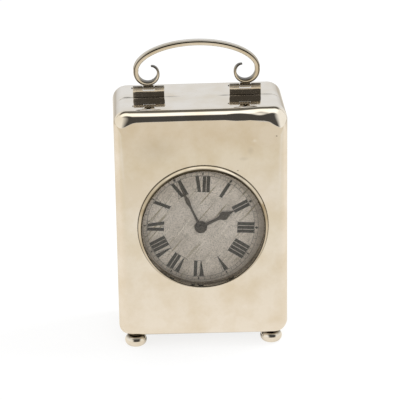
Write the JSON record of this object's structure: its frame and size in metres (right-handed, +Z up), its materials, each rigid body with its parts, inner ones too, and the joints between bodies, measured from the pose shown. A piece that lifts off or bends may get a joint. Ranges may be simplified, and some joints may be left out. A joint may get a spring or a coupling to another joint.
{
  "type": "desk clock",
  "caption": "Small polished metal desk clock on bun feet, with a hinged scroll handle on top, a round glazed dial in the front, a rear door and a wound movement inside.",
  "frame": {"origin": "centre of the clock's bounding box, on the surface that its feet stand on", "axes": "+Z up; the dial faces -Y, and +X is to the right of someone who looks at the dial"},
  "size_m": [0.062, 0.0426, 0.1122],
  "materials": {
    "silver": "polished silver with fine handling marks",
    "brass": "fine-grained gilt brass",
    "steel": "polished steel",
    "blued_steel": "dark blued steel",
    "silvered_dial": "aged silvered metal with printed numerals",
    "clear_glass": "clear domed glass"
  },
  "bodies": {
    "case": {"front_panel": "silver", "case_band": "silver", "rear_frame": "silver", "rear_door_pin_lower": "steel", "rear_door_pin_upper": "steel", "foot_front_left": "silver", "foot_front_right": "silver", "foot_rear_left": "silver", "foot_rear_right": "silver", "hinge_leaf_left": "silver", "handle_pin_left": "steel", "hinge_leaf_right": "silver", "handle_pin_right": "steel", "bezel": "silver", "glass": "clear_glass", "dial": "silvered_dial", "movement_ring": "brass", "front_plate": "brass", "back_plate": "brass", "pillar_1": "brass", "plate_screw_1": "blued_steel", "pillar_2": "brass", "plate_screw_2": "blued_steel", "pillar_3": "brass", "plate_screw_3": "blued_steel", "ring_screw_1": "blued_steel", "ring_screw_2": "blued_steel", "ring_screw_3": "blued_steel", "click_screw": "blued_steel", "click_spring": "steel", "potence": "brass", "hairspring": "blued_steel", "balance_cock": "brass"},
    "handle": {"carry_handle": "silver", "handle_knuckle_left": "silver", "handle_knuckle_right": "silver"},
    "door": {"rear_door": "silver", "door_knob": "silver"},
    "hands_arbor": {"centre_arbor": "steel", "cannon_pinion": "steel", "minute_hand": "blued_steel", "hand_collet": "blued_steel", "setting_knob": "brass"},
    "minute_wheel": {"minute_wheel": "brass"},
    "hour_pipe": {"hour_wheel": "brass", "hour_hand": "blued_steel"},
    "third_wheel": {"third_wheel": "brass"},
    "centre_wheel": {"centre_wheel": "brass"},
    "intermediate_wheel": {"intermediate_wheel": "brass"},
    "barrel": {"barrel": "brass", "barrel_cover": "brass", "mainspring": "steel"},
    "fourth_wheel": {"fourth_wheel": "brass"},
    "escape_wheel": {"escape_wheel": "brass"},
    "winding_arbor": {"barrel_arbor": "steel", "ratchet_wheel": "steel", "winding_key": "brass"},
    "click": {"click": "steel"},
    "lever": {"lever": "steel"},
    "balance": {"balance_wheel": "brass"}
  },
  "joints": [
    {"name": "handle_fold", "type": "hinge", "parent": "case", "child": "handle", "pos_m": [0, 0, 0.0946], "axis": [1, 0, 0], "range_deg": [-95, 95]},
    {"name": "door_swing", "type": "hinge", "parent": "case", "child": "door", "pos_m": [0.024, 0.0191, 0.048], "axis": [0, 0, -1], "range_deg": [0, 170]},
    {"name": "hands_turn", "type": "hinge", "parent": "case", "child": "hands_arbor", "pos_m": [-0.0005, 0, 0.0464], "axis": [0, 1, 0], "continuous": true},
    {"name": "minute_wheel_turn", "type": "hinge", "parent": "case", "child": "minute_wheel", "pos_m": [-0.0005, 0, 0.0404], "axis": [0, 1, 0], "continuous": true},
    {"name": "hour_turn", "type": "hinge", "parent": "case", "child": "hour_pipe", "pos_m": [-0.0005, 0, 0.0464], "axis": [0, 1, 0], "continuous": true},
    {"name": "third_wheel_turn", "type": "hinge", "parent": "case", "child": "third_wheel", "pos_m": [0.00714, 0, 0.05404], "axis": [0, 1, 0], "continuous": true},
    {"name": "centre_wheel_turn", "type": "hinge", "parent": "case", "child": "centre_wheel", "pos_m": [-0.0005, 0, 0.0464], "axis": [0, 1, 0], "continuous": true},
    {"name": "intermediate_wheel_turn", "type": "hinge", "parent": "case", "child": "intermediate_wheel", "pos_m": [-0.0109, 0, 0.04091], "axis": [0, 1, 0], "continuous": true},
    {"name": "barrel_turn", "type": "hinge", "parent": "case", "child": "barrel", "pos_m": [-0.0005, 0, 0.0324], "axis": [0, 1, 0], "continuous": true},
    {"name": "fourth_wheel_turn", "type": "hinge", "parent": "case", "child": "fourth_wheel", "pos_m": [-0.00181, 0, 0.05729], "axis": [0, 1, 0], "continuous": true},
    {"name": "escape_wheel_turn", "type": "hinge", "parent": "case", "child": "escape_wheel", "pos_m": [-0.01026, 0, 0.05878], "axis": [0, 1, 0], "continuous": true},
    {"name": "winding", "type": "hinge", "parent": "case", "child": "winding_arbor", "pos_m": [-0.0005, 0, 0.0324], "axis": [0, -1, 0], "range_deg": [0, 1800]},
    {"name": "click_lift", "type": "hinge", "parent": "case", "child": "click", "pos_m": [0.00485, 0, 0.03835], "axis": [0, 1, 0], "range_deg": [-9, 0], "stiffness_Nm_per_rad": 0.001},
    {"name": "lever_rock", "type": "hinge", "parent": "case", "child": "lever", "pos_m": [-0.00415, 0, 0.05986], "axis": [0, 1, 0], "range_deg": [-5, 5]},
    {"name": "balance_swing", "type": "hinge", "parent": "case", "child": "balance", "pos_m": [0.00235, 0, 0.06101], "axis": [0, 1, 0], "range_deg": [-270, 270], "stiffness_Nm_per_rad": 0.0000028}
  ],
  "couplings": [
    {"joint": "minute_wheel_turn", "follows": "hands_turn", "ratio": -0.33333},
    {"joint": "hour_turn", "follows": "hands_turn", "ratio": 0.083333},
    {"joint": "centre_wheel_turn", "follows": "third_wheel_turn", "ratio": -0.125},
    {"joint": "intermediate_wheel_turn", "follows": "third_wheel_turn", "ratio": 0.020833},
    {"joint": "barrel_turn", "follows": "third_wheel_turn", "ratio": -0.0034722},
    {"joint": "fourth_wheel_turn", "follows": "third_wheel_turn", "ratio": -7.5},
    {"joint": "escape_wheel_turn", "follows": "third_wheel_turn", "ratio": 75}
  ]
}
